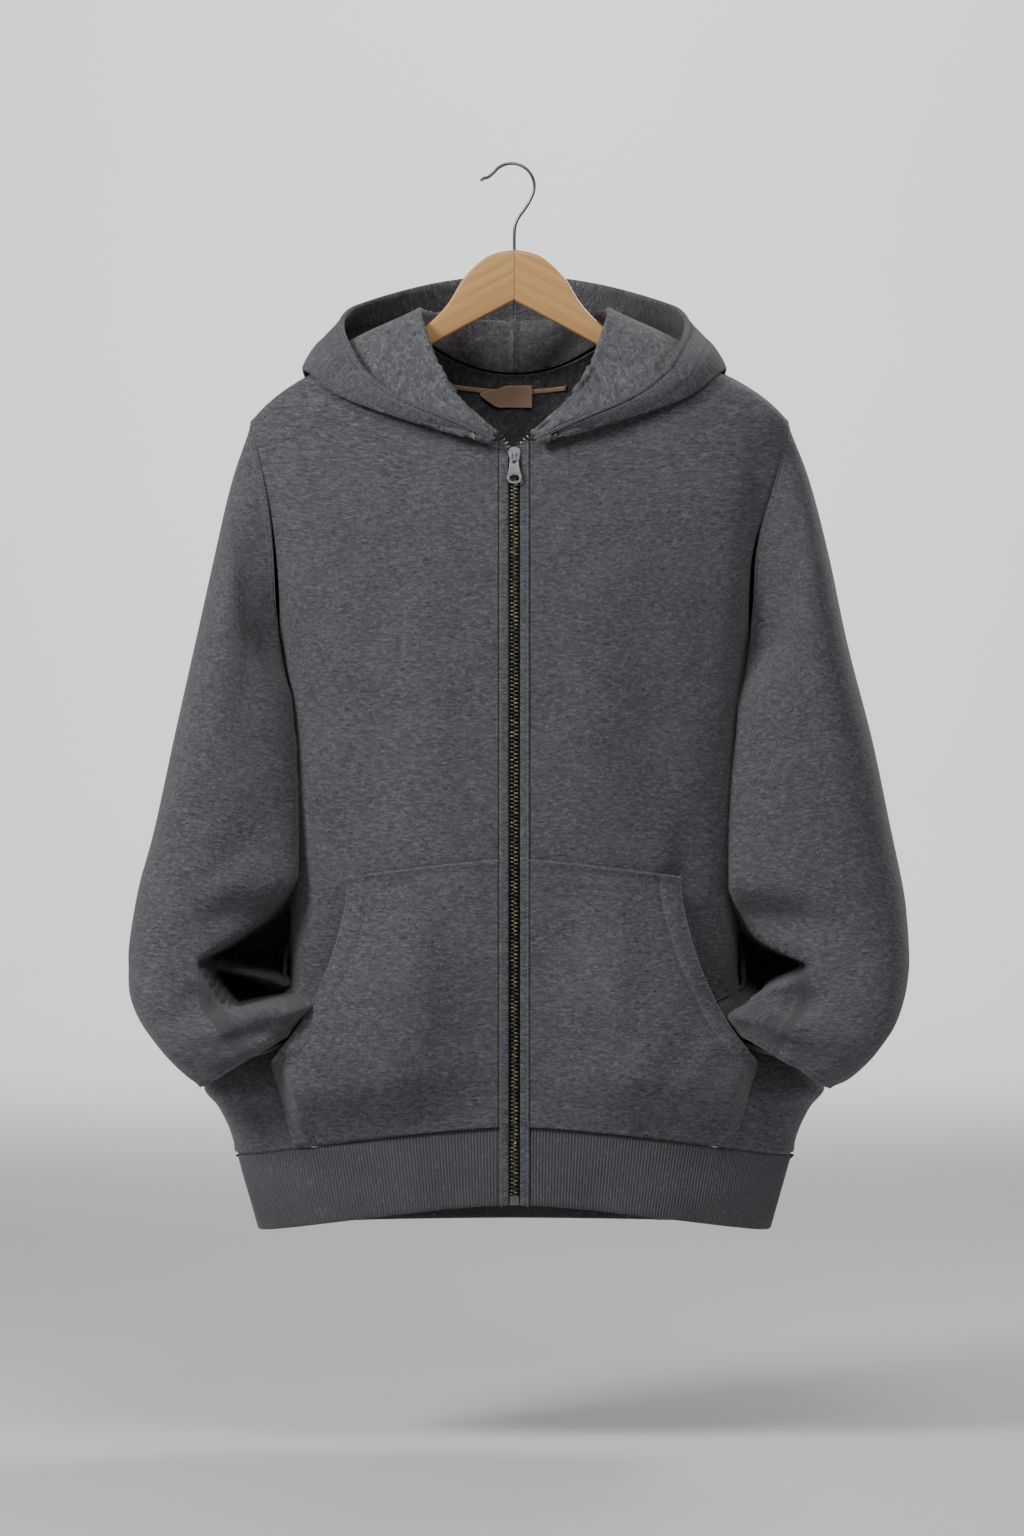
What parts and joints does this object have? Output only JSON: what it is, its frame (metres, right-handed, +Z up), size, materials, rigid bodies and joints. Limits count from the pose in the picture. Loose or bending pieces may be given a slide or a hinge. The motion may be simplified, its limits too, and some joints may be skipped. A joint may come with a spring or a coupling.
{
  "type": "hooded zip sweatshirt on a wooden hanger",
  "caption": "Full-zip hooded sweatshirt in brushed fleece with kangaroo pocket, rib cuffs and hem band, filled out hollow and hung on a wooden hanger with a wire hook.",
  "frame": {"origin": "inside top of the hanger's hook, where the hook rests on a rail or peg", "axes": "+Z up, -Y out of the front of the garment, where the zip is, +X towards the sleeve on the right as seen from the front"},
  "size_m": [0.666, 0.2681, 0.9167],
  "materials": {
    "fleece": "brushed, heathered",
    "rib": "knitted rib, heathered",
    "tape": "woven",
    "label": "woven tape",
    "brass": "antiqued",
    "steel": "polished",
    "wood": "varnished"
  },
  "bodies": {
    "garment": {"back": "fleece", "front_left": "fleece", "front_right": "fleece", "sleeve_left": "fleece", "sleeve_right": "fleece", "cuff_left": "rib", "cuff_right": "rib", "pocket_left": "fleece", "pocket_right": "fleece", "hood_left": "fleece", "hood_right": "fleece", "zip_guard_left": "fleece", "zip_guard_right": "fleece", "zip_tape_left": "tape", "zip_tape_right": "tape", "hanger_arm_left": "wood", "hanger_arm_right": "wood", "hem_band": "rib", "zip_chain": "brass", "zip_box": "steel", "zip_slider": "steel", "hanging_loop": "label", "neck_label": "label", "hanger_hook": "steel"},
    "pull": {"zip_pull": "steel"}
  },
  "joints": [
    {"name": "pull_hinge", "type": "hinge", "parent": "garment", "child": "pull", "pos_m": [0, -0.07978, -0.25322], "axis": [-1, 0, 0], "range_deg": [0, 130]}
  ]
}
